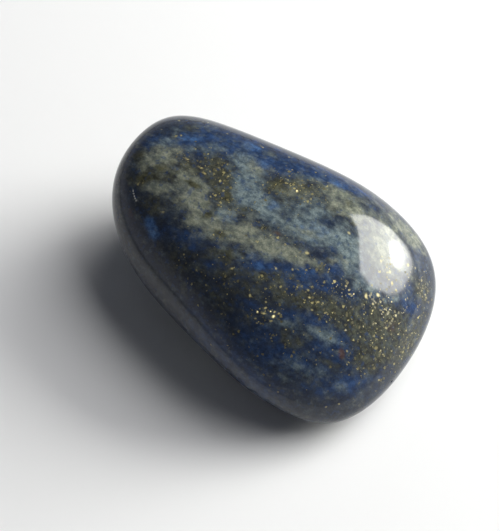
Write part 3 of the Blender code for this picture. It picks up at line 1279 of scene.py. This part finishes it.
    def strewn(self, board: NodeBoard, under: Surface, size: GrainSize, place: Source) -> Surface:
        """Strew pyrite grains of one size over the surface so far.

        Args:
            board: The material's nodes.
            under: The surface so far.
            size: The grains' size.
            place: Coordinates in millimetres.

        Returns:
            The new surface.
        """
        inputs = {
            "Place": place,
            "Amount": board.amount(Mineral.PYRITE),
            "Cells Per mm": size.cells_per_mm,
            "Radius": size.radius,
            "Share": size.share,
            "Tilt": size.tilt,
        }
        grains = board.group(GRAIN_GROUP, inputs)
        mask = grains.outputs["Mask"]
        lustre = board.maths("POWER", grains.outputs["Brightness"], size.dullness)
        gold = board.blend(lustre, self.pyrite_dull, self.pyrite_bright)
        colour = board.blend(mask, under.colour, gold)
        metal = board.maths("MAXIMUM", under.metal, mask)
        return Surface(colour, metal, self.turned(board, under.normal, grains.outputs["Normal"], mask))

    def marked(self, board: NodeBoard, under: Surface) -> Surface:
        """Put the specks, the white tick and the pit's painted shade on the surface so far.

        Args:
            board: The material's nodes.
            under: The surface so far.

        Returns:
            The new surface.
        """
        speck = board.amount(Marking.SPECK)
        glint = board.maths("POWER", speck, self.glint_power)
        colour = board.blend(speck, under.colour, self.speck_color)
        colour = board.blend(board.amount(Marking.TICK), colour, self.tick_color)
        # painted shade inside the pit, laid where the pit attribute shows
        colour = board.blend(board.amount(Marking.PIT), colour, self.pit_shade_color)
        metal = board.maths("MAXIMUM", under.metal, speck)
        return Surface(colour, metal, self.turned(board, under.normal, tuple(self.glint_heading), glint))

    def build(self) -> bpy.types.Material:
        """Build the material and the node groups that it uses.

        Returns:
            The material.
        """
        add_mask_group()
        self.grain_style.add_group()
        material, board, shader = new_material("polished_lapis")
        millimetres = board.scaled(board.object_place(), 1 / MM)
        drift = (0, 0, math.radians(self.drift_deg))
        mapping = {"Vector": millimetres, "Rotation": drift, "Scale": self.stretch}
        drawn_out = board.add("ShaderNodeMapping", mapping).outputs["Vector"]

        colour = self.ground(board, drawn_out)
        for layer in self.layers:
            colour = self.laid(board, colour, layer, drawn_out)
        colour = self.freckled(board, colour, millimetres)
        fine = board.noise(millimetres, self.fine).outputs["Fac"]
        colour = board.scaled(colour, board.rise(fine, *self.fine_span, *self.fine_shades))

        surface = Surface(colour, 0.0, board.surface_normal())
        for size in self.grains:
            surface = self.strewn(board, surface, size, millimetres)
        surface = self.marked(board, surface)

        rough = board.rise(fine, *self.fine_span, *self.polish)
        rough = board.rise(surface.metal, *self.grain_span, rough, self.grain_roughness)
        metallic = board.maths("MULTIPLY", surface.metal, self.grain_metal)
        looks = {
            "Base Color": surface.colour,
            "Metallic": metallic,
            "Roughness": rough,
            "Normal": surface.normal,
        }
        board.feed(shader, looks)
        return material


WINDOW_EDGE = {
    "tip": (350, 215),
    "upper left": (358, 230),
    "left": (359, 250),
    "lower left": (360, 272),
    "left foot": (371, 287),
    "foot": (390, 295),
    "right foot": (401, 291),
    "lower right": (411, 272),
    "right": (412, 262),
    "upper right": (406, 246),
    "right shoulder": (392, 230),
    "top": (372, 218),
}

LAMP_EDGE = {
    "upper left": (389, 242),
    "upper right": (398, 241),
    "right": (404, 252),
    "lower right": (404, 264),
    "foot": (398, 268),
    "left": (391, 265),
}


@dataclass(frozen=True)
class Pane:
    """A glowing pane: its name, its reflection's edge in the photograph and how it stands.

    Its brightness is its radiance, where a lit white floor is about 1.
    """

    name: str
    edge: tuple[Pixel, ...]
    distance: float
    brightness: float


@dataclass(frozen=True)
class Studio:
    """A pale floor, a bright window to the far right with a lamp in it, and a dim room."""

    shape: TumbledStone
    view: PhotoView
    floor_half: float = 600 * MM
    floor_color: Tint = (0.86, 0.86, 0.86, 1)
    # painted falloff of light: the floor's colour far from the stone, and the reach over which it
    # darkens
    painted_falloff_color: Tint = (0.5, 0.5, 0.5, 1)
    floor_roughness: float = 0.9
    floor_shine: float = 0.1
    painted_falloff_reach: Span = (50 * MM, 300 * MM)
    pane_color: Tint = (1.0, 1.0, 0.96, 1)
    panes: tuple[Pane, ...] = (
        Pane("window", tuple(WINDOW_EDGE.values()), 400 * MM, 10.2),
        Pane("lamp", tuple(LAMP_EDGE.values()), 396 * MM, 22.0),
    )
    fill_distance: float = 380 * MM
    fill_bearing_deg: float = 62.0
    fill_lift_deg: float = 47.0
    fill_size: float = 400 * MM
    fill_brightness: float = 3.3
    room_color: Tint = (0.065, 0.068, 0.078, 1)
    backdrop_color: Tint = (0.8, 0.8, 0.81, 1)
    cove_radius: float = 560 * MM
    cove_lift_deg: float = 28.0
    cove_color: Tint = (0.5, 0.51, 0.57, 1)
    cove_sides: int = 96

    def add_floor(self) -> bpy.types.Object:
        """Add the floor, pale around the stone and darker far from it, where a falloff of light is
        painted into its colour.

        Returns:
            The floor.
        """
        edit = bmesh.new()
        bmesh.ops.create_grid(edit, x_segments=1, y_segments=1, size=self.floor_half)
        floor = add_object("floor", edit)
        material, board, shader = new_material("pale_floor")
        away = board.add("ShaderNodeVectorMath", {0: board.object_place()}, operation="LENGTH")
        # painted shade: the floor's colour darkens with distance from the stone, standing in for light
        # falling off
        painted_falloff = board.rise(away.outputs["Value"], *self.painted_falloff_reach)
        colour = board.blend(painted_falloff, self.floor_color, self.painted_falloff_color)
        looks = {
            "Base Color": colour,
            "Roughness": self.floor_roughness,
            "Specular IOR Level": self.floor_shine,
        }
        board.feed(shader, looks)
        floor.data.materials.append(material)
        return floor

    def window_heading(self) -> Vector:
        """Return the unit vector from the stone to the middle of the window."""
        headings = self.shape.mirrored(self.view, list(WINDOW_EDGE.values()))[1]
        return Vector(headings.mean(axis=0)).normalized()

    def add_pane(self, pane: Pane) -> bpy.types.Object:
        """Add a glowing pane whose reflection in the stone has its edge in the photograph.

        Args:
            pane: The pane's sizes.

        Returns:
            The pane.
        """
        facing = np.array(self.window_heading())
        points, headings = self.shape.mirrored(self.view, list(pane.edge))
        steps = (pane.distance - points @ facing) / (headings @ facing)
        edit = bmesh.new()
        corners = [edit.verts.new(corner) for corner in points + headings * steps[:, None]]
        bmesh.ops.contextual_create(edit, geom=corners)
        bmesh.ops.triangulate(edit, faces=edit.faces[:])
        glow = add_object(pane.name, edit)
        glow.location = self.shape.centre
        material, board, shader = new_material(pane.name)
        looks = {
            "Base Color": BLACK,
            "Emission Color": self.pane_color,
            "Emission Strength": pane.brightness,
        }
        board.feed(shader, looks)
        glow.data.materials.append(material)
        return glow

    def add_fill(self) -> bpy.types.Object:
        """Add a broad soft panel above the window that no polish mirrors.

        Returns:
            The panel.
        """
        heading = level_heading(self.fill_bearing_deg, self.fill_lift_deg)
        light = bpy.data.lights.new("window_fill", "AREA")
        light.shape = "SQUARE"
        light.size = self.fill_size
        light.energy = self.fill_brightness * math.pi * self.fill_size**2
        panel = bpy.data.objects.new("window_fill", light)
        panel.location = self.shape.centre + heading * self.fill_distance
        panel.rotation_euler = heading.to_track_quat("Z", "Y").to_euler()
        panel.visible_glossy = False
        bpy.context.scene.collection.objects.link(panel)
        return panel

    def add_cove(self) -> bpy.types.Object:
        """Add the room's paler foot, a wall round the floor that only the polish mirrors.

        Returns:
            The wall.
        """
        height = self.cove_radius * math.tan(math.radians(self.cove_lift_deg))
        edit = bmesh.new()
        bmesh.ops.create_circle(edit, segments=self.cove_sides, radius=self.cove_radius)
        wall = bmesh.ops.extrude_edge_only(edit, edges=edit.edges[:])["geom"]
        raised = [item for item in wall if isinstance(item, bmesh.types.BMVert)]
        bmesh.ops.translate(edit, verts=raised, vec=(0, 0, height))
        cove = add_object("cove", edit)
        cove.visible_camera = False
        cove.visible_diffuse = False
        cove.visible_shadow = False
        material, board, shader = new_material("cove")
        level = board.add("ShaderNodeSeparateXYZ", {"Vector": board.object_place()}).outputs["Z"]
        colour = board.blend(board.rise(level, 0.0, height), self.cove_color, self.room_color)
        looks = {"Base Color": BLACK, "Emission Color": colour, "Emission Strength": 1.0}
        board.feed(shader, looks)
        cove.data.materials.append(material)
        return cove

    def add_room(self) -> None:
        """Surround the stone with a dim room that the camera sees as a pale backdrop."""
        world = bpy.data.worlds.new("room")
        world.use_nodes = True
        world.node_tree.nodes.clear()
        board = NodeBoard(world.node_tree)
        dim = board.add("ShaderNodeBackground", {"Color": self.room_color})
        pale = board.add("ShaderNodeBackground", {"Color": self.backdrop_color})
        path = board.add("ShaderNodeLightPath", {})
        inputs = {
            0: path.outputs["Is Camera Ray"],
            1: dim.outputs["Background"],
            2: pale.outputs["Background"],
        }
        mix = board.add("ShaderNodeMixShader", inputs)
        board.add("ShaderNodeOutputWorld", {"Surface": mix.outputs["Shader"]})
        bpy.context.scene.world = world

    def build(self) -> None:
        """Add the floor, the lights and the room."""
        self.add_floor()
        for pane in self.panes:
            self.add_pane(pane)
        self.add_fill()
        self.add_cove()
        self.add_room()


def main() -> None:
    """Build the stone, its finish and the studio."""
    logging.basicConfig(level=logging.INFO, format="%(name)s: %(message)s")
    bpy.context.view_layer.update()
    bpy.context.scene.view_settings.view_transform = "Standard"

    view = PhotoView()
    shape = TumbledStone()
    stone = shape.build(view, [*SPECKS.values(), *WHITE_TICK.values()], PIT)
    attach(stone, "root")
    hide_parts(CAD_NODE)
    log.info("stone: %d faces", len(stone.data.polygons))

    MineralPattern(shape, view).paint(stone)
    log.info("pattern: %d minerals", len(Mineral))

    studio = Studio(shape, view)
    glints = (view.back + studio.window_heading()).normalized()
    stone.data.materials.append(LapisFinish(glints).build())
    log.info("finish: polished lapis")

    view.add_camera(shape.centre)
    studio.build()
    log.info("studio ready")


if __name__ == "__main__":
    main()
